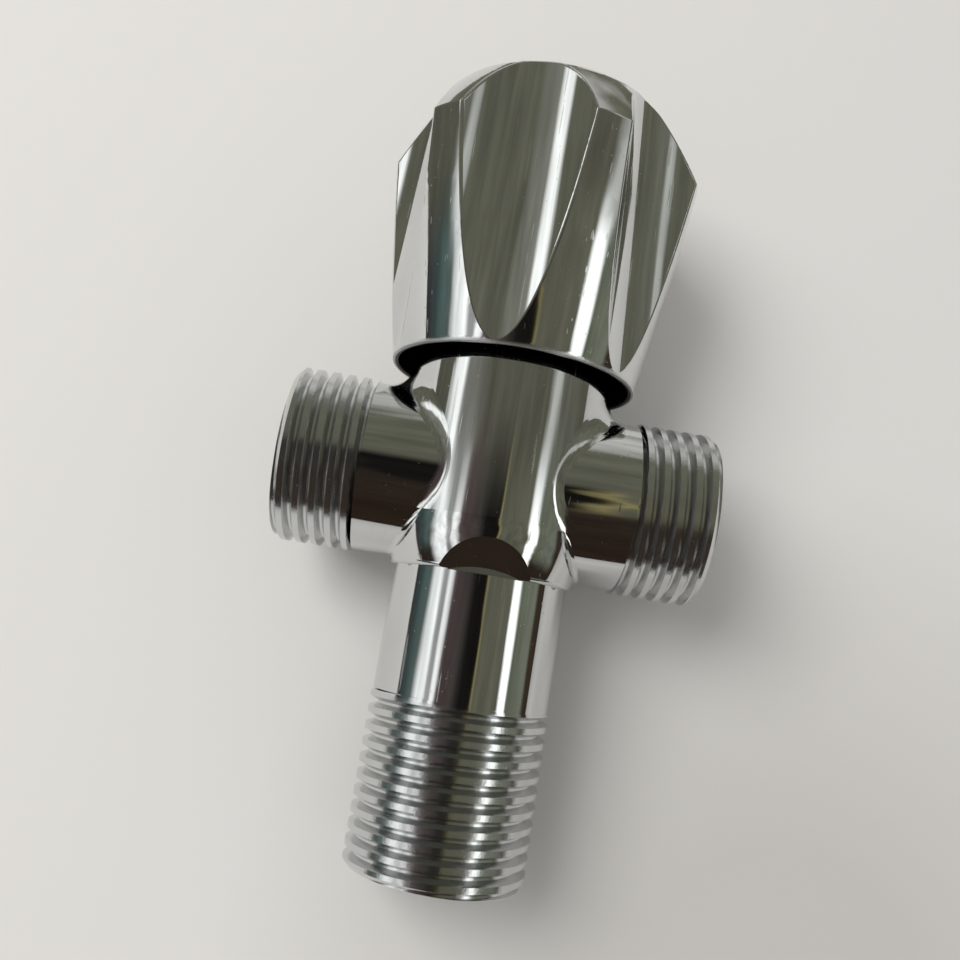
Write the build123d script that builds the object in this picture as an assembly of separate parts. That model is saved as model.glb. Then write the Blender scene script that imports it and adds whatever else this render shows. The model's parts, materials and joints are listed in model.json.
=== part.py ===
from build123d import *
import math
import os

# Three way angle valve with a quarter turn ceramic cartridge, in millimetres.
# The model is built upright: Z runs up the spindle, X along the two outlets, and the origin is
# where those axes cross. At the end it is turned into the row frame, in which the handle points
# to -Y, the outlets lie along X, and the origin is the middle of the inlet's end face.

# Driving dimensions of the body
inlet_reach = 44.5          # outlet axis down to the inlet's end face
outlet_reach = 24.75        # spindle axis out to each outlet's end face
body_radius = 11.8          # barrel of the body, from the bowl up to the neck's top
neck_height = 17.0          # outlet axis up to the neck's top
outlet_radius = 10.0        # plain shank of each outlet
inlet_radius = 10.15        # plain tube above the inlet thread
shoulder_drop = 11.0        # outlet axis down to the shoulder on the inlet tube
shoulder_step = 0.15        # the barrel ends this much outside the inlet tube
taper_start = 5.0           # the barrel draws in below this depth
taper = 1.0                 # by this much
foot_round = 0.45           # rounded corner at the barrel's foot
neck_fillet = 3.0           # where the outlets blend into the neck, on the handle's side
blend_foot = 5.0            # this blend ends so far below the outlet axis
crotch_fillet = 0.5         # the same corner on the inlet's side, nearly sharp
spot_face_top = 6.9         # upper edge of a small leaning flat milled on the barrel's front
spot_face_lean = 31.0
spot_face_runout = 0.1      # the cutter ends this far below the shoulder

# Pipe threads, parallel, nominal half inch
thread_radius = 10.3
thread_pitch = 1.814
thread_depth = 0.95
thread_crest = 0.68         # width of the flat crests
thread_root = 0.24          # width of the flat roots
thread_chamfer = 0.7
ridge_seam = 50.0           # where the helix starts, round the pipe
core_seam = 200.0
outlet_thread_length = 9.3
inlet_thread_length = 19.4

# Bores of the body
outlet_bore_radius = 6.5
inlet_bore_radius = 6.75
seat_bore_radius = 5.5
seat_wall = 2.5             # the ring of brass that the seat seal stands on
chamber_radius = 9.3
cartridge_bore_radius = 9.95
cartridge_bore_depth = 12.0

# Cartridge
thread_clearance = 0.05     # radial, around the cartridge's screwed part
running_clearance = 0.05    # radial, between the spindle and its housing
axial_clearance = 0.05
disc_gap = 0.02             # film between the two lapped discs
sleeve_radius = 9.0
sleeve_wall = 1.0
seal_thickness = 2.0
seal_section = 3.0
disc_thickness = 3.0
disc_clearance = 0.1
disc_window_radius = 6.4
disc_hub_radius = 1.6
disc_window_angle = 80.0
drive_slot_width = 5.0
drive_slot_depth = 1.2
window_height = 3.0
window_width = 10.0
foot_thickness = 2.0
washer_thickness = 0.8
stem_radius = 4.45
hex_across_flats = 19.0
hex_height = 5.0
tower_radius = 7.0
tower_height = 9.0
oring_section = 1.24
stem_oring_heights = (12.0, 16.5)
clip_thickness = 0.8
clip_groove_depth = 0.85
clip_width = 2.5
clip_opening = 3.0

# Splined top of the spindle, its bush and its screw
spline_radius = 3.9
spline_depth = 0.45
spline_teeth = 20
spline_length = 8.3
spline_clearance = 0.03
bush_wall = 1.45
screw_radius = 1.95
screw_length = 9.8
screw_head_radius = 3.5
screw_head_height = 2.4
screw_slot_width = 0.9
screw_slot_depth = 1.2
lock_washer_thickness = 0.8
lock_washer_radius = 3.4

# Handle
handle_lift = 13.2          # outlet axis up to the handle's rim
handle_length = 26.36       # rim to the corner of the ribs
dome_height = 11.3          # corner of the ribs to the top of the dome
flank_height = 7.35         # corner of the ribs to the dome's soft edge
flank_inset = 4.95          # the soft edge lies this far inside the ribs' corner
flank_bulge = 0.25
dome_edge_fillet = 2.4
rim_gap = 2.25              # neck to the inside of the rim
rim_lip = 0.65              # wall at the rim
rim_round = 0.2             # rounded edges of the lip
rib_flare = 4.23            # the ribs stand this much further out at their top than at the rim
rib_bulge = 0.2             # crown of the ribs' long outline
hollow_gap = 0.9            # neck to the handle's straight inner wall
hollow_taper = 6.8          # height of the flared mouth
ceiling_height = 31.8       # rim to the ceiling of the hollow
ceiling_chamfer = 2.5
flute_count = 6
flute_radius = 9.75         # each flute is a straight scoop of this radius
flute_wall = 0.95           # handle wall left at the top of a flute
flute_start = 0.4           # a flute runs out this far above the rim
flute_turn = 77.65          # angle of the first flute from +X
rib_edge_fillet = 0.45
boss_radius = 6.6
boss_gap = 0.9              # clip to the boss's lower face
web_thickness = 2.0
cap_radius = 7.4
cap_clearance = 0.05
cap_rim = 1.6
cap_spigot_radius = 4.4
cap_spigot_length = 1.2

# Heights that follow from the sizes above
chamber_floor = -9.5
disc_floor = chamber_floor + seal_thickness
moving_disc_floor = disc_floor + disc_thickness + disc_gap
moving_disc_top = moving_disc_floor + disc_thickness
foot_floor = moving_disc_top + window_height
foot_top = foot_floor + foot_thickness
housing_shoulder = foot_top + washer_thickness + axial_clearance
sleeve_bore_radius = sleeve_radius - sleeve_wall
stem_bore_radius = stem_radius + running_clearance
hex_top = neck_height + hex_height
tower_top = hex_top + tower_height
clip_floor = tower_top + 3 * axial_clearance
clip_top = clip_floor + clip_thickness
spline_floor = clip_top + boss_gap
spindle_top = spline_floor + spline_length
web_floor = spindle_top + 4 * axial_clearance
web_top = web_floor + web_thickness
washer_top = web_top + lock_washer_thickness
screw_top = washer_top + screw_head_height
oring_radius = oring_section / 2

# Radii and heights of the handle that follow
rim_inner_radius = body_radius + rim_gap
rim_outer_radius = rim_inner_radius + rim_lip
hollow_radius = body_radius + hollow_gap
rib_top_radius = rim_outer_radius + rib_flare
rib_top = handle_lift + handle_length
dome_top = rib_top + dome_height
edge_radius = rib_top_radius - flank_inset
dome_edge = rib_top + flank_height
dome_rise = dome_top - dome_edge
dome_radius = (edge_radius**2 + dome_rise**2) / (2 * dome_rise)
hollow_top = handle_lift + ceiling_height
cap_floor = dome_top - dome_radius + math.sqrt(dome_radius**2 - cap_radius**2) - cap_rim

upright_to_row = Rotation(90, 0, 0) * Pos(0, 0, inlet_reach)
along_outlet = {"left": Rotation(0, 90, 0), "right": Rotation(0, -90, 0)}


def turned(*outline):
    """A solid of revolution about Z from (radius, height) points."""
    return revolve(Plane.XZ * make_face(Polyline(*outline, close=True)), Axis.Z)


def drum(radius, floor, top):
    """A plain cylinder about Z between two heights."""
    return Pos(0, 0, floor) * extrude(Circle(radius), top - floor)


def ring(outer, inner, floor, top):
    return drum(outer, floor, top) - drum(inner, floor - 1, top + 1)


def oring(centre_radius, height):
    return Pos(0, 0, height) * Torus(centre_radius, oring_radius)


def threaded_end(length):
    """A screwed end from Z=0 up to its free end at Z=length, with a real helical thread."""
    root = thread_radius - thread_depth
    base = root - 0.15
    flank = (thread_pitch - thread_crest - thread_root) / 2 / thread_depth
    half_crest = thread_crest / 2
    half_base = half_crest + flank * (thread_radius - base)
    section = make_face(
        Polyline(
            (base, -half_base),
            (thread_radius, -half_crest),
            (thread_radius, half_crest),
            (base, half_base),
            close=True,
        )
    )
    helix = Helix(pitch=thread_pitch, height=length + 3 * thread_pitch, radius=root)
    ridge = Pos(0, 0, -1.5 * thread_pitch) * sweep(Plane.XZ * section, path=helix, is_frenet=True)
    limit = turned(
        (0, 0),
        (thread_radius + 0.1, 0),
        (thread_radius + 0.1, length - thread_chamfer - 0.1),
        (thread_radius - thread_chamfer, length),
        (0, length),
    )
    # The three round seams are turned apart, because booleans lose pieces where seams meet.
    ridge = Rotation(0, 0, ridge_seam) * ridge & limit
    return Rotation(0, 0, core_seam) * drum(root, 0, length) + ridge


def barrel():
    """The body's outside about the spindle axis, without the inlet thread."""
    tube_foot = inlet_thread_length - inlet_reach
    foot_radius = inlet_radius + shoulder_step
    taper_end = foot_round - shoulder_drop
    taper_run = -taper_start - taper_end
    curve = (taper_run**2 + taper**2) / (2 * taper)
    half_turn = math.asin(taper_run / curve) / 2
    belly = (body_radius - curve * (1 - math.cos(half_turn)), -taper_start - curve * math.sin(half_turn))
    corner = body_radius - taper
    bulge = math.sqrt(0.5)
    corner_mid = (foot_radius + bulge * (corner - foot_radius), taper_end - bulge * foot_round)
    outline = make_face(
        [
            Polyline((0, neck_height), (0, tube_foot), (inlet_radius, tube_foot), (inlet_radius, -shoulder_drop)),
            Line((inlet_radius, -shoulder_drop), (foot_radius, -shoulder_drop)),
            ThreePointArc((foot_radius, -shoulder_drop), corner_mid, (corner, taper_end)),
            ThreePointArc((corner, taper_end), belly, (body_radius, -taper_start)),
            Polyline((body_radius, -taper_start), (body_radius, neck_height), (0, neck_height)),
        ]
    )
    return revolve(Plane.XZ * outline, Axis.Z)


def crossed(upright, radius):
    """An upright shape with the outlets' plain shanks through it and rounded corners between them."""
    shank = outlet_reach - outlet_thread_length
    body = upright + Rotation(0, 90, 0) * drum(outlet_radius, -shank, shank)
    corners = [
        edge
        for edge in body.edges()
        if edge.geom_type not in (GeomType.LINE, GeomType.CIRCLE) and abs(edge.center().X) > outlet_radius / 2
    ]
    return fillet(corners, radius)


def valve_body():
    body = crossed(barrel(), crotch_fillet)
    plain = Rotation(0, 0, core_seam) * drum(body_radius, -2 * body_radius, neck_height)
    blended = neck_height + blend_foot
    handle_side = Pos(0, 0, neck_height - blended / 2) * Box(3 * outlet_reach, 3 * body_radius, blended)
    body += crossed(plain, neck_fillet) & handle_side
    shank = outlet_reach - outlet_thread_length
    for turn in along_outlet.values():
        body += turn * Pos(0, 0, shank) * threaded_end(outlet_thread_length)
    foot = Pos(0, 0, inlet_thread_length - inlet_reach) * Rotation(180, 0, 0)
    body += foot * threaded_end(inlet_thread_length)
    flat = Box(body_radius, body_radius, 2 * shoulder_drop, align=(Align.CENTER, Align.MIN, Align.CENTER))
    flat = Pos(0, body_radius, -spot_face_top) * Rotation(-spot_face_lean, 0, 0) * flat
    foot = shoulder_drop + spot_face_runout
    above_foot = Pos(0, body_radius, -foot / 2) * Box(2 * body_radius, 2 * body_radius, foot)
    body -= flat & above_foot
    passages = turned(
        (0, neck_height + 1),
        (cartridge_bore_radius, neck_height + 1),
        (cartridge_bore_radius, neck_height - cartridge_bore_depth),
        (chamber_radius, neck_height - cartridge_bore_depth),
        (chamber_radius, chamber_floor),
        (seat_bore_radius, chamber_floor),
        (seat_bore_radius, chamber_floor - seat_wall),
        (inlet_bore_radius, chamber_floor - seat_wall - 1.2),
        (inlet_bore_radius, -inlet_reach - 1),
        (0, -inlet_reach - 1),
    )
    body -= passages
    body -= Rotation(0, 90, 0) * drum(outlet_bore_radius, -outlet_reach - 1, outlet_reach + 1)
    return body


def cartridge_housing():
    screwed_radius = cartridge_bore_radius - thread_clearance
    screwed_floor = neck_height - cartridge_bore_depth + 1
    groove_top = neck_height - 0.15
    groove_floor = groove_top - oring_section - 0.2
    groove_radius = screwed_radius - oring_section
    outside = turned(
        (0, disc_floor),
        (sleeve_radius, disc_floor),
        (sleeve_radius, screwed_floor),
        (screwed_radius, screwed_floor),
        (screwed_radius, groove_floor),
        (groove_radius, groove_floor),
        (groove_radius, groove_top),
        (screwed_radius, groove_top),
        (screwed_radius, neck_height),
        (screwed_radius, hex_top - 1),
        (tower_radius, hex_top - 1),
        (tower_radius, tower_top - 0.4),
        (tower_radius - 0.4, tower_top),
        (0, tower_top),
    )
    head = Pos(0, 0, neck_height) * extrude(RegularPolygon(hex_across_flats / 2, 6, major_radius=False), hex_height)
    corner = hex_across_flats / math.sqrt(3)
    head &= turned(
        (0, neck_height),
        (corner, neck_height),
        (corner, hex_top - 0.7),
        (corner - 1.2, hex_top),
        (0, hex_top),
    )
    inside = turned(
        (0, disc_floor - 1),
        (sleeve_bore_radius, disc_floor - 1),
        (sleeve_bore_radius, housing_shoulder),
        (stem_bore_radius, housing_shoulder),
        (stem_bore_radius, tower_top + 1),
        (0, tower_top + 1),
    )
    window = Pos(0, 0, (moving_disc_top + foot_floor) / 2) * Box(4 * sleeve_radius, window_width, window_height)
    return outside + head - inside - window


def housing_oring():
    return oring(cartridge_bore_radius - thread_clearance - oring_radius, neck_height - 0.25 - oring_radius)


def seat_seal():
    outer = seat_bore_radius + seal_section
    return ring(outer, seat_bore_radius, chamber_floor, disc_floor)


def bow_tie(height):
    """Two opposite sector openings, centred on X, through a disc of the given thickness."""
    sector = Plane.XY * make_face(
        Polyline(
            (0, 0),
            (12, -12 * math.tan(math.radians(disc_window_angle / 2))),
            (12, 12 * math.tan(math.radians(disc_window_angle / 2))),
            close=True,
        )
    )
    web = Circle(disc_window_radius) - Circle(disc_hub_radius)
    pair = (web & sector) + (web & (Rotation(0, 0, 180) * sector))
    return extrude(pair, height)


def fixed_disc():
    disc = drum(sleeve_bore_radius - disc_clearance, disc_floor, disc_floor + disc_thickness)
    return disc - Pos(0, 0, disc_floor - 1) * bow_tie(disc_thickness + 2)


def moving_disc():
    """Its openings stand a quarter turn from the fixed disc's, so the valve is closed at rest."""
    disc = drum(sleeve_bore_radius - 3 * disc_clearance, moving_disc_floor, moving_disc_top)
    disc -= Pos(0, 0, moving_disc_floor - 1) * Rotation(0, 0, 90) * bow_tie(disc_thickness + 2)
    slot = Box(3 * sleeve_radius, drive_slot_width + disc_clearance, drive_slot_depth + 1)
    return disc - Pos(0, 0, moving_disc_top - drive_slot_depth + (drive_slot_depth + 1) / 2) * slot


def spline_outline(extra):
    """Serrated outline of the spindle's top; extra widens it for the bush."""
    points = []
    for tooth in range(spline_teeth):
        for share, radius in ((0.0, spline_radius), (0.5, spline_radius - spline_depth)):
            angle = 2 * math.pi * (tooth + share) / spline_teeth
            points.append(((radius + extra) * math.cos(angle), (radius + extra) * math.sin(angle)))
    return make_face(Polyline(*points, close=True))


def spindle():
    groove_radius = stem_bore_radius - 0.02 - oring_section
    stem = drum(stem_radius, foot_floor, spline_floor)
    stem += drum(sleeve_bore_radius - 2 * disc_clearance, foot_floor, foot_top)
    for height in stem_oring_heights:
        half = oring_radius + 0.15
        stem -= ring(stem_radius + 0.5, groove_radius, height - half, height + half)
    stem -= ring(stem_radius + 0.5, stem_radius - clip_groove_depth, clip_floor, clip_top)
    stem += Pos(0, 0, spline_floor) * extrude(spline_outline(0), spline_length)
    key_floor = moving_disc_top - drive_slot_depth
    key = Box(4 * sleeve_radius, drive_slot_width, foot_floor - key_floor, align=(Align.CENTER, Align.CENTER, Align.MIN))
    key = (Pos(0, 0, key_floor) * key) & drum(sleeve_bore_radius - 6 * disc_clearance, key_floor, foot_floor)
    hole = drum(screw_radius + spline_clearance, washer_top - screw_length - 0.5, spindle_top + 1)
    return stem + key - hole


def stem_oring(height):
    return oring(stem_bore_radius - 0.02 - oring_radius, height)


def thrust_washer():
    return ring(sleeve_bore_radius - 2 * disc_clearance, stem_radius + 0.03, foot_top, foot_top + washer_thickness)


def retaining_clip():
    inner = stem_radius - clip_groove_depth
    clip = ring(inner + clip_width, inner, clip_floor, clip_top)
    gap = Box(3 * clip_width + inner, clip_opening, 3 * clip_thickness, align=(Align.MIN, Align.CENTER, Align.CENTER))
    return clip - Pos(0, 0, clip_floor) * gap


def handle_outside():
    """Ribs' cone, flank and dome as one turned solid, with straight scoops between the ribs."""
    half = (rim_outer_radius + rib_top_radius) / 2 + rib_bulge
    lean_flank = math.atan2(flank_inset, flank_height)
    flank_mid = rib_top_radius - flank_inset / 2 + flank_bulge * math.cos(lean_flank)
    flank_mid_height = rib_top + flank_height / 2 + flank_bulge * math.sin(lean_flank)
    share = math.sin(0.5 * math.asin(edge_radius / dome_radius))
    dome_mid = dome_top - dome_radius + dome_radius * math.sqrt(1 - share**2)
    outline = make_face(
        [
            Polyline((0, dome_top), (0, handle_lift), (rim_outer_radius, handle_lift)),
            ThreePointArc(
                (rim_outer_radius, handle_lift), (half, (handle_lift + rib_top) / 2), (rib_top_radius, rib_top)
            ),
            ThreePointArc((rib_top_radius, rib_top), (flank_mid, flank_mid_height), (edge_radius, dome_edge)),
            ThreePointArc((edge_radius, dome_edge), (dome_radius * share, dome_mid), (0, dome_top)),
        ]
    )
    shell = revolve(Plane.XZ * outline, Axis.Z)
    soft_edge = [
        edge
        for edge in shell.edges().filter_by(GeomType.CIRCLE)
        if abs(edge.center().Z - dome_edge) < 0.01 and edge.length > edge_radius
    ]
    shell = fillet(soft_edge, dome_edge_fillet)
    run = dome_edge - handle_lift - flute_start
    start_radius = rim_outer_radius + flute_start * rib_flare / handle_length
    lean = math.degrees(math.atan((start_radius - hollow_radius - flute_wall) / run))
    scoop = Rotation(0, -lean, 0) * Pos(flute_radius, 0, 0) * drum(flute_radius, -run, 2 * run)
    scoop = Pos(start_radius, 0, handle_lift + flute_start) * scoop
    scoops = [Rotation(0, 0, flute_turn + 360 / flute_count * turn) * scoop for turn in range(flute_count)]
    return shell - scoops


def handle_shell():
    shell = handle_outside()
    corners = [edge for edge in shell.edges().filter_by(GeomType.CIRCLE) if abs(edge.center().Z - rib_top) < 0.01]
    for face in shell.faces().filter_by(GeomType.CYLINDER):
        corners += [edge for edge in face.edges() if edge.center().Z > handle_lift + 0.1]
    shell = fillet(corners, rib_edge_fillet)
    hollow = turned(
        (0, handle_lift - 1),
        (rim_inner_radius, handle_lift - 1),
        (rim_inner_radius, handle_lift),
        (hollow_radius, handle_lift + hollow_taper),
        (hollow_radius, hollow_top - ceiling_chamfer),
        (hollow_radius - ceiling_chamfer, hollow_top),
        (0, hollow_top),
    )
    shell -= hollow - drum(boss_radius, clip_top + boss_gap, hollow_top)
    lip = [edge for edge in shell.edges().filter_by(GeomType.CIRCLE) if abs(edge.center().Z - handle_lift) < 0.01]
    shell = fillet(lip, rim_round)
    shell -= drum(spline_radius + bush_wall + cap_clearance, clip_top, web_floor)
    shell -= drum(screw_radius + 0.3, web_floor - 1, web_top + 1)
    shell -= drum(cap_spigot_radius + cap_clearance, web_top, dome_top)
    shell -= drum(cap_radius + cap_clearance, cap_floor, dome_top + 1)
    return shell


def spline_bush():
    bush = drum(spline_radius + bush_wall, spline_floor + 0.1, spindle_top)
    return bush - Pos(0, 0, spline_floor - 1) * extrude(spline_outline(spline_clearance), spline_length + 2)


def handle_screw():
    screw = drum(screw_radius, washer_top - screw_length, washer_top + 0.1)
    head = drum(screw_head_radius, washer_top, screw_top)
    head = fillet(head.edges().group_by(Axis.Z)[-1], 1.0)
    for turn in (0, 90):
        slot = Box(1.5 * screw_head_radius, screw_slot_width, 2 * screw_slot_depth)
        head -= Pos(0, 0, screw_top) * Rotation(0, 0, turn) * slot
    return screw + head


def lock_washer():
    """Split spring washer under the screw's head."""
    washer = ring(lock_washer_radius, screw_radius + 0.1, web_top, washer_top)
    cut = Box(2 * lock_washer_radius, 0.6, 3, align=(Align.MIN, Align.CENTER, Align.CENTER))
    return washer - Pos(0, 0, web_top) * cut


def index_cap():
    """Domed button flush with the handle's top, with a spigot that snaps over the screw's head."""
    ball = Pos(0, 0, dome_top - dome_radius) * Sphere(dome_radius)
    button = drum(cap_radius, cap_floor, dome_top + 1) & ball
    circles = [edge for edge in button.edges().filter_by(GeomType.CIRCLE) if edge.length > 6 * cap_radius]
    button = fillet(max(circles, key=lambda edge: edge.center().Z), 0.3)
    return button + drum(cap_spigot_radius, cap_floor - cap_spigot_length, cap_floor)


pieces = {
    "valve_body": valve_body(),
    "cartridge_housing": cartridge_housing(),
    "housing_oring": housing_oring(),
    "seat_seal": seat_seal(),
    "fixed_disc": fixed_disc(),
    "moving_disc": moving_disc(),
    "spindle": spindle(),
    "spindle_oring_lower": stem_oring(stem_oring_heights[0]),
    "spindle_oring_upper": stem_oring(stem_oring_heights[1]),
    "thrust_washer": thrust_washer(),
    "retaining_clip": retaining_clip(),
    "handle_shell": handle_shell(),
    "spline_bush": spline_bush(),
    "handle_screw": handle_screw(),
    "lock_washer": lock_washer(),
    "index_cap": index_cap(),
}

os.makedirs("parts", exist_ok=True)
for name, shape in pieces.items():
    placed = upright_to_row * shape
    export_step(placed, f"parts/{name}.step")
    print(name, round(placed.volume, 1), "mm3", len(placed.solids()), "solid")
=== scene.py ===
import json
import math

import bpy
from mathutils import Matrix, Vector


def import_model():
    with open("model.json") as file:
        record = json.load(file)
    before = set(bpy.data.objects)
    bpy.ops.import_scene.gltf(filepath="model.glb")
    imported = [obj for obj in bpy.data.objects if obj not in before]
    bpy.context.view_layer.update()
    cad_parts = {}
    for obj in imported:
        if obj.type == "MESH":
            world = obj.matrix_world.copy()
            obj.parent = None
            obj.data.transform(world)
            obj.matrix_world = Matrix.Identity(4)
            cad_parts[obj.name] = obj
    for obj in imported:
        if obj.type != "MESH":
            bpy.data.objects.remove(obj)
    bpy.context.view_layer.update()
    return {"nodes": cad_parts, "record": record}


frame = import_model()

# Three way angle valve. Metres, in the row frame: the handle points to -Y, the outlets lie along X,
# and the valve lies on a pale sheet under it, on the inlet thread and the ribs of the handle.

MM = 0.001
nodes = frame["nodes"]

# What the sheet touches: the inlet thread at Y=0, and the corner of the handle's ribs
thread_reach = 10.4 * MM
rib_reach = 18.93 * MM
rib_y = -84.06 * MM

# The sheet ends beyond the handle's top, so that the dome shows the dim room over it
sheet_half = 600 * MM
sheet_end = -150 * MM
paper_lit = (0.78, 0.770, 0.752)
paper_shaded = (0.600, 0.588, 0.566)
# Painted shade: its colour is painted darker round this point, fully up to the first distance, not at all
# past the second
shade_centre = (-45 * MM, 10 * MM, 0.0)
shade_reach = (20 * MM, 70 * MM)

# Where the plate is worn, and where the handle's hollow is painted nearly black: painted shade
inlet_thread_end = -19.4 * MM      # the inlet thread runs from Y=0 to here
outlet_thread_start = 15.45 * MM   # the outlet threads start this far out along X
wear_fade = 0.5 * MM
thread_wear = 0.45                 # share of the rim's wear
worn_roughness = 0.42
rim_y = -57.7 * MM
rim_wear_depths = (0.55 * MM, 0.15 * MM)
# Between the handle's inner wall and its flutes, at the rim and at the ceiling of the hollow
hollow_radii = (14.4 * MM, 13.2 * MM)
hollow_depth = 32.4 * MM
# Painted shade: the near black that the hollow's colour is painted
hollow_shade_colour = (0.02, 0.02, 0.02)


# ---------------------------------------------------------------- material building blocks

class Shade:
    """One node material, with short calls for the nodes that the finishes below share."""

    def __init__(self, name, colour, metallic, roughness):
        self.material = bpy.data.materials.new(name)
        self.material.use_nodes = True
        self.tree = self.material.node_tree
        self.shader = self.tree.nodes["Principled BSDF"]
        self.set("Base Color", (*colour, 1.0))
        self.set("Metallic", metallic)
        self.set("Roughness", roughness)
        self.place = self.tree.nodes.new("ShaderNodeTexCoord").outputs["Object"]

    def set(self, socket, value):
        self.shader.inputs[socket].default_value = value

    def plug(self, source, node, socket):
        self.tree.links.new(source, node.inputs[socket])

    def feed(self, source, socket):
        self.tree.links.new(source, self.shader.inputs[socket])

    def distance_to(self, point):
        node = self.tree.nodes.new("ShaderNodeVectorMath")
        node.operation = "DISTANCE"
        node.inputs[1].default_value = point
        self.plug(self.place, node, 0)
        return node.outputs["Value"]

    def axes(self):
        node = self.tree.nodes.new("ShaderNodeSeparateXYZ")
        self.plug(self.place, node, "Vector")
        return node.outputs

    def stretched(self, scale, turn):
        node = self.tree.nodes.new("ShaderNodeMapping")
        node.inputs["Scale"].default_value = scale
        node.inputs["Rotation"].default_value = [math.radians(angle) for angle in turn]
        self.plug(self.place, node, "Vector")
        return node.outputs["Vector"]

    def noise(self, per_mm, detail=3.0, place=None):
        node = self.tree.nodes.new("ShaderNodeTexNoise")
        node.inputs["Scale"].default_value = per_mm / MM
        node.inputs["Detail"].default_value = detail
        self.plug(place or self.place, node, "Vector")
        return node.outputs["Fac"]

    def cells(self, per_mm):
        node = self.tree.nodes.new("ShaderNodeTexVoronoi")
        node.inputs["Scale"].default_value = per_mm / MM
        self.plug(self.place, node, "Vector")
        return node.outputs["Distance"]

    def ramp(self, source, low, high, to_low=0.0, to_high=1.0):
        node = self.tree.nodes.new("ShaderNodeMapRange")
        node.inputs["From Min"].default_value = low
        node.inputs["From Max"].default_value = high
        node.inputs["To Min"].default_value = to_low
        node.inputs["To Max"].default_value = to_high
        self.plug(source, node, "Value")
        return node.outputs["Result"]

    def maths(self, operation, *values):
        node = self.tree.nodes.new("ShaderNodeMath")
        node.operation = operation
        for slot, value in enumerate(values):
            if isinstance(value, (int, float)):
                node.inputs[slot].default_value = value
            else:
                self.tree.links.new(value, node.inputs[slot])
        return node.outputs["Value"]

    def blend(self, amount, first, second):
        node = self.tree.nodes.new("ShaderNodeMix")
        node.data_type = "RGBA"
        node.inputs["A"].default_value = (*first, 1.0)
        node.inputs["B"].default_value = (*second, 1.0)
        for socket in node.inputs:
            if socket.name == "Factor" and socket.type == "VALUE":
                self.tree.links.new(amount, socket)
        colour = [output for output in node.outputs if output.type == "RGBA"]
        return colour[0]

    # Painted shade: blends a colour toward the near black of the handle's hollow by the given amount
    def paint_shade(self, colour, amount):
        node = self.tree.nodes.new("ShaderNodeMixRGB")
        node.inputs["Color2"].default_value = (*hollow_shade_colour, 1.0)
        self.plug(amount, node, "Fac")
        self.plug(colour, node, "Color1")
        return node.outputs["Color"]

    def bump(self, height, depth_mm, strength=1.0, under=None):
        node = self.tree.nodes.new("ShaderNodeBump")
        node.inputs["Strength"].default_value = strength
        node.inputs["Distance"].default_value = depth_mm * MM
        self.plug(height, node, "Height")
        if under is not None:
            self.plug(under, node, "Normal")
        return node.outputs["Normal"]

    def scratches(self, per_mm, turn, share):
        """Thin straight marks in one direction, 1 on a mark and 0 elsewhere."""
        along = self.stretched(scale=(1.0, 0.035, 1.0), turn=turn)
        return self.ramp(self.noise(per_mm, detail=1.0, place=along), share, share + 0.02)


def chrome(name, colour, worn, painted_shade_mask=None):
    """Bright plate: mirror, with polishing waves, hairline scratches, smears and tiny pits.

    worn makes, from the shade, the share of wear at a place: 1 where the plate is dull and nicked.
    The last argument does the same for the handle's hollow, whose colour is painted nearly black there: a
    painted shade."""
    shade = Shade(name, colour, 1.0, 0.05)
    smear = shade.ramp(shade.noise(0.11, detail=4.0), 0.42, 0.72)
    pits = shade.ramp(shade.cells(0.9), 0.10, 0.04)
    hairs = shade.scratches(2.4, (0, 0, 28), 0.74)
    for turn in ((20, 0, -41), (0, 55, 80), (70, 10, 5)):
        hairs = shade.maths("MAXIMUM", hairs, shade.scratches(2.2, turn, 0.75))
    rough = shade.maths("MULTIPLY_ADD", smear, 0.055, 0.035)
    rough = shade.maths("MAXIMUM", rough, shade.maths("MULTIPLY", hairs, 0.22))
    rough = shade.maths("MAXIMUM", rough, shade.maths("MULTIPLY", pits, 0.35))
    wear = worn(shade)
    rough = shade.maths("MAXIMUM", rough, shade.maths("MULTIPLY", wear, worn_roughness))
    shade.feed(rough, "Roughness")
    dull = tuple(0.86 * channel for channel in colour)
    tone = shade.blend(shade.maths("MAXIMUM", pits, shade.maths("MULTIPLY", smear, 0.5)), colour, dull)
    # Painted shade: where the hollow's mask is 1, the colour is blended to near black
    shade.feed(shade.paint_shade(tone, painted_shade_mask(shade)) if painted_shade_mask else tone, "Base Color")
    waves = shade.bump(shade.noise(0.16, detail=1.0), 0.05, strength=0.36)
    marks = shade.bump(hairs, 0.004, strength=0.35, under=waves)
    nicks = shade.maths("MULTIPLY", shade.noise(2.6, detail=3.0), wear)
    shade.feed(shade.bump(nicks, 0.05, strength=0.5, under=marks), "Normal")
    return shade.material


def worn_threads(shade):
    """The three threads: the inlet's by its distance along Y, the outlets' by theirs along X."""
    across, along, _ = shade.axes()
    inlet = shade.ramp(along, inlet_thread_end, inlet_thread_end + wear_fade)
    reach = shade.maths("ABSOLUTE", across)
    outlets = shade.ramp(reach, outlet_thread_start, outlet_thread_start + wear_fade)
    return shade.maths("MULTIPLY", shade.maths("MAXIMUM", inlet, outlets), thread_wear)


def worn_rim(shade):
    """The handle's rim, which is only brushed."""
    inner, outer = rim_wear_depths
    return shade.ramp(shade.axes()[1], rim_y - inner, rim_y - outer)


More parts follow.
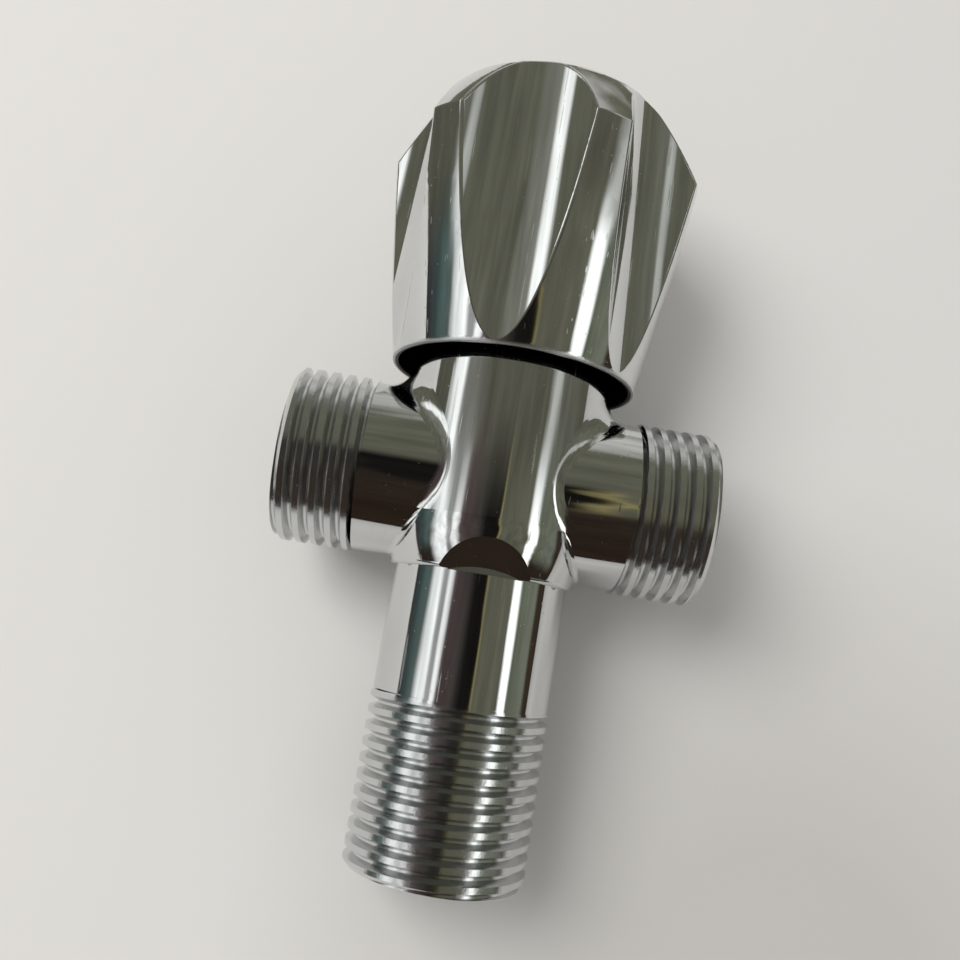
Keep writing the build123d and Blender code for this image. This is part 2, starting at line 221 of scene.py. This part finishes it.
def hollow_painted_shade(shade):
    """1 inside the handle's hollow, where the colour is painted nearly black as painted shade, by the
    distance from the spindle's axis and from the rim.
    """
    across, along, above = shade.axes()
    across_squared = shade.maths("MULTIPLY", across, across)
    above_squared = shade.maths("MULTIPLY", above, above)
    radius = shade.maths("SQRT", shade.maths("ADD", across_squared, above_squared))
    depth = shade.maths("SUBTRACT", rim_y, along)
    limit = shade.ramp(depth, 0, hollow_depth, *hollow_radii)
    within = shade.maths("LESS_THAN", radius, limit)
    return shade.maths("MULTIPLY", within, shade.maths("LESS_THAN", depth, hollow_depth))


def simple(name, colour, metallic, roughness, grain):
    """A plain finish with a fine grain in its colour, gloss and height."""
    shade = Shade(name, colour, metallic, roughness)
    cloud = shade.noise(0.35, detail=5.0)
    shade.feed(shade.ramp(cloud, 0.3, 0.7, roughness * 0.8, roughness * 1.25), "Roughness")
    shade.feed(shade.blend(cloud, tuple(0.85 * c for c in colour), colour), "Base Color")
    shade.feed(shade.bump(shade.noise(grain, detail=4.0), 0.02, strength=0.3), "Normal")
    return shade.material


finishes = {
    "plated_body": chrome("body_chrome", (0.66, 0.67, 0.67), worn_threads),
    "plated_handle": chrome("handle_chrome", (0.67, 0.68, 0.68), worn_rim, hollow_painted_shade),
    "turned_brass": simple("turned_brass", (0.72, 0.52, 0.22), 1.0, 0.28, 3.0),
    "black_rubber": simple("black_rubber", (0.02, 0.02, 0.02), 0.0, 0.6, 4.0),
    "alumina": simple("alumina", (0.83, 0.82, 0.78), 0.0, 0.25, 6.0),
    "slip_plastic": simple("slip_plastic", (0.82, 0.82, 0.80), 0.0, 0.45, 3.0),
    "spring_steel": simple("spring_steel", (0.50, 0.50, 0.52), 1.0, 0.3, 3.0),
    "screw_steel": simple("screw_steel", (0.60, 0.60, 0.60), 1.0, 0.35, 3.0),
}

for part in frame["record"]["subparts"]:
    mesh = nodes[part["node"]].data
    mesh.materials.clear()
    mesh.materials.append(finishes[part["material_slot"]])


# ---------------------------------------------------------------- sheet, lights and camera

def sheet():
    """The pale sheet, tilted so that the inlet thread and the handle's ribs both reach it."""
    slope = math.atan2(rib_reach - thread_reach, -rib_y)
    mesh = bpy.data.meshes.new("sheet")
    sides = (-sheet_half, sheet_half)
    near, far = sheet_half, sheet_end
    corners = [(sides[0], far, 0), (sides[1], far, 0), (sides[1], near, 0), (sides[0], near, 0)]
    mesh.from_pydata(corners, [], [(0, 1, 2, 3)])
    mesh.transform(Matrix.Translation((0, 0, -thread_reach)) @ Matrix.Rotation(slope, 4, "X"))
    plane = bpy.data.objects.new("sheet", mesh)
    bpy.context.scene.collection.objects.link(plane)
    paper = Shade("pale_sheet", paper_lit, 0.0, 0.75)
    # Painted shade: the sheet's colour goes from paper_lit to paper_shaded round shade_centre, in patches
    shaded = paper.ramp(paper.distance_to(shade_centre), *shade_reach, 1.0, 0.0)
    clouds = paper.maths("MULTIPLY_ADD", paper.noise(0.012, detail=3.0), 0.2, 0.9)
    shaded = paper.maths("MULTIPLY", shaded, clouds)
    paper.feed(paper.blend(shaded, paper_lit, paper_shaded), "Base Color")
    paper.feed(paper.bump(paper.noise(1.2, detail=4.0), 0.03, strength=0.2), "Normal")
    mesh.materials.append(paper.material)


def lamp(name, toward, distance, size, glow, colour):
    """A soft rectangular light that faces the middle of the valve and that the plate doesn't show.

    glow is its brightness as seen from the valve."""
    light = bpy.data.lights.new(name, "AREA")
    light.shape = "RECTANGLE"
    light.size, light.size_y = size
    light.energy = glow * math.pi * size[0] * size[1]
    light.color = colour
    holder = bpy.data.objects.new(name, light)
    middle = Vector((0, -45 * MM, 0))
    holder.location = middle + Vector(toward).normalized() * distance
    holder.rotation_euler = (middle - holder.location).to_track_quat("-Z", "Y").to_euler()
    holder.visible_glossy = False
    bpy.context.scene.collection.objects.link(holder)


# The room that the plate mirrors, by the angle about the valve's long axis, in degrees.
# Negative angles lie toward +X.
walls = (
    (-90, (0.045, 0.045, 0.045)),
    (-80, (0.060, 0.090, 0.085)),
    (-74, (0.100, 0.150, 0.140)),
    (-66, (0.120, 0.130, 0.120)),
    (-46, (0.260, 0.260, 0.250)),
    (-30, (0.100, 0.070, 0.070)),
    (-12, (0.050, 0.045, 0.040)),
    (-5, (0.010, 0.009, 0.008)),
    (7, (0.010, 0.009, 0.008)),
    (9, (0.300, 0.260, 0.120)),
    (11, (0.130, 0.130, 0.095)),
    (42, (0.150, 0.150, 0.110)),
    (57, (0.150, 0.170, 0.120)),
    (80, (0.190, 0.200, 0.160)),
    (84, (0.050, 0.036, 0.025)),
    (90, (0.040, 0.030, 0.020)),
)
# Windows by the same angle, as shares of the brightest one: over the inlet, and beyond the handle.
near_windows = (
    (-70, 0.0),
    (-63, 0.60),
    (-53, 0.64),
    (-49, 0.12),
    (-44, 0.10),
    (-41, 0.55),
    (-37, 0.55),
    (-33, 0.0),
    (43, 0.0),
    (46, 1.0),
    (52, 1.0),
    (56, 0.0),
)
far_windows = (
    (-74, 0.0),
    (-69, 0.62),
    (-59, 0.66),
    (-54, 0.07),
    (-34, 0.03),
    (-28, 0.0),
    (44, 0.0),
    (48, 0.22),
    (54, 0.22),
    (58, 0.02),
    (85, 0.0),
)
# The same room seen along the valve, from beyond the handle (-1) to beyond the inlet (+1).
ends = (
    (-1.0, (0.62, 0.61, 0.58)),
    (-0.95, (0.50, 0.49, 0.46)),
    (-0.88, (0.16, 0.16, 0.12)),
    (-0.35, (0.14, 0.14, 0.105)),
    (0.0, (0.09, 0.085, 0.065)),
    (0.25, (0.035, 0.025, 0.018)),
    (1.0, (0.028, 0.018, 0.012)),
)
window_glow = 1.9
half_turn = 180.0           # the span of the tables above


def world():
    """A dim room for the plate to mirror, and an even pale surround for the eye and the sheet."""
    room = bpy.data.worlds.new("room")
    room.use_nodes = True
    tree = room.node_tree
    tree.nodes.clear()

    def node(kind, **values):
        made = tree.nodes.new(kind)
        for socket, value in values.items():
            made.inputs[socket.replace("_", " ")].default_value = value
        return made

    def join(source, sink):
        tree.links.new(source, sink)

    def maths(operation, *values):
        made = node("ShaderNodeMath")
        made.operation = operation
        for slot, value in enumerate(values):
            if isinstance(value, (int, float)):
                made.inputs[slot].default_value = value
            else:
                join(value, made.inputs[slot])
        return made.outputs[0]

    def soft(source, low, high):
        made = node("ShaderNodeMapRange", From_Min=low, From_Max=high)
        made.interpolation_type = "SMOOTHSTEP"
        join(source, made.inputs["Value"])
        return made.outputs["Result"]

    def steps(source, stops):
        made = tree.nodes.new("ShaderNodeValToRGB")
        for place, colour in stops[1:-1]:
            made.color_ramp.elements.new(place)
        for element, (place, colour) in zip(made.color_ramp.elements, stops):
            element.position = place
            element.color = (*colour, 1.0)
        join(source, made.inputs["Fac"])
        return made.outputs["Color"]

    def mix(amount, first, second):
        made = tree.nodes.new("ShaderNodeMixRGB")
        join(amount, made.inputs["Fac"])
        join(first, made.inputs["Color1"])
        join(second, made.inputs["Color2"])
        return made.outputs["Color"]

    toward = tree.nodes.new("ShaderNodeTexCoord").outputs["Generated"]
    split = node("ShaderNodeSeparateXYZ")
    join(toward, split.inputs[0])
    across, along, above = split.outputs
    coarse = node("ShaderNodeTexNoise", Scale=3.0, Detail=3.0)
    join(toward, coarse.inputs["Vector"])
    fine = node("ShaderNodeTexNoise", Scale=9.0, Detail=3.0)
    join(toward, fine.inputs["Vector"])
    sway = maths("MULTIPLY_ADD", coarse.outputs["Fac"], 0.07, -0.035)
    angle = maths("ARCTAN2", maths("MULTIPLY", across, -1.0), above)
    turned = maths("ADD", maths("MULTIPLY_ADD", angle, 1 / math.pi, 0.5), sway)
    round_walls = steps(turned, [(0.5 + at / half_turn, colour) for at, colour in walls])
    lean = maths("ADD", along, maths("MULTIPLY_ADD", coarse.outputs["Fac"], 0.3, -0.15))
    down_walls = steps(maths("MULTIPLY_ADD", lean, 0.5, 0.5), [(0.5 + at / 2, colour) for at, colour in ends])
    slant = maths("ABSOLUTE", along)
    behind = maths("MULTIPLY", along, -1.0)
    endwise = maths("MAXIMUM", soft(along, 0.22, 0.40), soft(behind, 0.10, 0.26))
    walls_colour = mix(endwise, round_walls, down_walls)
    near_panes, far_panes = (
        steps(turned, [(0.5 + at / half_turn, (glow,) * 3) for at, glow in windows])
        for windows in (near_windows, far_windows)
    )
    panes = mix(soft(behind, 0.08, 0.22), near_panes, far_panes)
    panes = maths("MULTIPLY", panes, maths("SUBTRACT", 1.0, soft(slant, 0.72, 0.93)))
    mottle = maths("MULTIPLY_ADD", fine.outputs["Fac"], 1.0, 0.5)
    wall_light = node("ShaderNodeBackground")
    join(walls_colour, wall_light.inputs["Color"])
    join(mottle, wall_light.inputs["Strength"])
    window_light = node("ShaderNodeBackground", Color=(0.98, 1.0, 1.0, 1.0))
    join(maths("MULTIPLY", maths("MULTIPLY", panes, window_glow), mottle), window_light.inputs["Strength"])
    room_light = tree.nodes.new("ShaderNodeAddShader")
    join(wall_light.outputs[0], room_light.inputs[0])
    join(window_light.outputs[0], room_light.inputs[1])
    surround = node("ShaderNodeBackground", Color=(0.47, 0.466, 0.457, 1.0))
    either = node("ShaderNodeMixShader")
    join(tree.nodes.new("ShaderNodeLightPath").outputs["Is Glossy Ray"], either.inputs["Fac"])
    join(surround.outputs[0], either.inputs[1])
    join(room_light.outputs[0], either.inputs[2])
    output = node("ShaderNodeOutputWorld")
    join(either.outputs[0], output.inputs["Surface"])
    bpy.context.scene.world = room


def camera():
    eye = bpy.data.cameras.new("camera")
    eye.sensor_width = 36.0
    eye.lens = 36.0
    eye.clip_start = 0.005
    holder = bpy.data.objects.new("camera", eye)
    right = Vector((-0.985592, -0.161127, 0.051437))
    up = Vector((0.167133, -0.974475, 0.149885))
    back = right.cross(up)
    turn = Matrix((right, up, back)).transposed()
    holder.matrix_world = Matrix.Translation((4.869 * MM, -27.117 * MM, 113.347 * MM)) @ turn.to_4x4()
    bpy.context.scene.collection.objects.link(holder)
    bpy.context.scene.camera = holder


sheet()
world()
lamp("key", (1.0, -0.55, 1.5), 0.80, (0.45, 0.45), 6.3, (1.0, 0.988, 0.96))
camera()
bpy.context.scene.view_settings.view_transform = "Standard"
